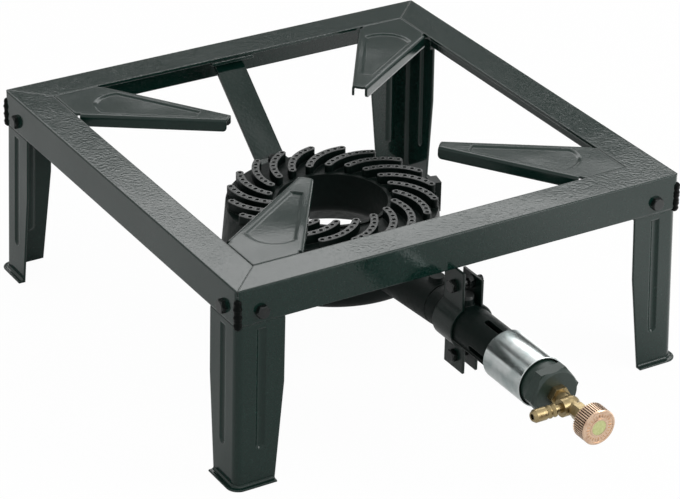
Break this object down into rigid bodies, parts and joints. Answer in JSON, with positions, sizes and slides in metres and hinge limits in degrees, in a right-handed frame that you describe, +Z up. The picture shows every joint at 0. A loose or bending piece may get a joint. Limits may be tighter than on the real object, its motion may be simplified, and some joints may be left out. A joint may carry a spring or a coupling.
{
  "type": "stock pot range",
  "caption": "Low stock pot gas burner stand: square angle-iron frame on pressed legs, cast-iron ring burner with curved ported vanes, mixing tube, air shutter and brass valve.",
  "frame": {"origin": "on the floor, under the middle of the whole object's footprint from the rear foot lips to the knob's face", "axes": "+Z up, +X to the right seen from the knob side, -Y towards the knob, so the mixing tube runs along -Y"},
  "size_m": [0.4164, 0.5882, 0.168],
  "materials": {
    "enamel": "glossy dark green-black enamel, slightly orange-peeled",
    "burner_iron": "painted sand casting, matte",
    "black_fasteners": "black zinc, semi-gloss",
    "bright_zinc": "bright zinc plate with fine rolling marks",
    "brass": "turned brass, satin",
    "knob_zinc": "yellow-passivated zinc, satin, pinkish gold",
    "dial_disc": "pale yellow-green lacquer",
    "seal_rubber": "matte"
  },
  "bodies": {
    "stand": {"front_rail": "enamel", "right_rail": "enamel", "back_rail": "enamel", "left_rail": "enamel", "pot_support_front_left": "enamel", "pot_support_front_right": "enamel", "pot_support_back_right": "enamel", "pot_support_back_left": "enamel", "leg_front_left": "enamel", "leg_front_right": "enamel", "leg_back_right": "enamel", "leg_back_left": "enamel", "leg_bolts": "black_fasteners", "leg_nuts": "black_fasteners", "burner_casting": "burner_iron", "rear_strap": "enamel", "strap_bolt": "black_fasteners", "strap_nut": "black_fasteners", "tube_hanger": "enamel", "clamp_half": "enamel", "clamp_bolt": "black_fasteners", "clamp_nut": "black_fasteners", "lower_clamp_bolt": "black_fasteners", "lower_clamp_nut": "black_fasteners", "injector_holder": "burner_iron", "gas_jet": "brass", "valve_body": "brass", "hose_tail": "brass", "gland_nut": "brass"},
    "air_shutter": {"air_shutter": "bright_zinc"},
    "spindle_ring": {"spindle_seal": "seal_rubber"},
    "knob": {"valve_spindle": "brass", "control_knob": "knob_zinc", "knob_disc": "dial_disc"}
  },
  "joints": [
    {"name": "air_shutter_slide", "type": "slide", "parent": "stand", "child": "air_shutter", "axis": [0, 1, 0], "range_m": [0, 0.028]},
    {"name": "spindle_travel", "type": "slide", "parent": "stand", "child": "spindle_ring", "axis": [0, -1, 0], "range_m": [0, 0.0025]},
    {"name": "knob_turn", "type": "hinge", "parent": "spindle_ring", "child": "knob", "pos_m": [0, -0.2771, 0.0895], "axis": [0, -1, 0], "range_deg": [0, 900]}
  ],
  "couplings": [
    {"joint": "spindle_travel", "follows": "knob_turn", "m_per_rad": 0.00015915}
  ]
}
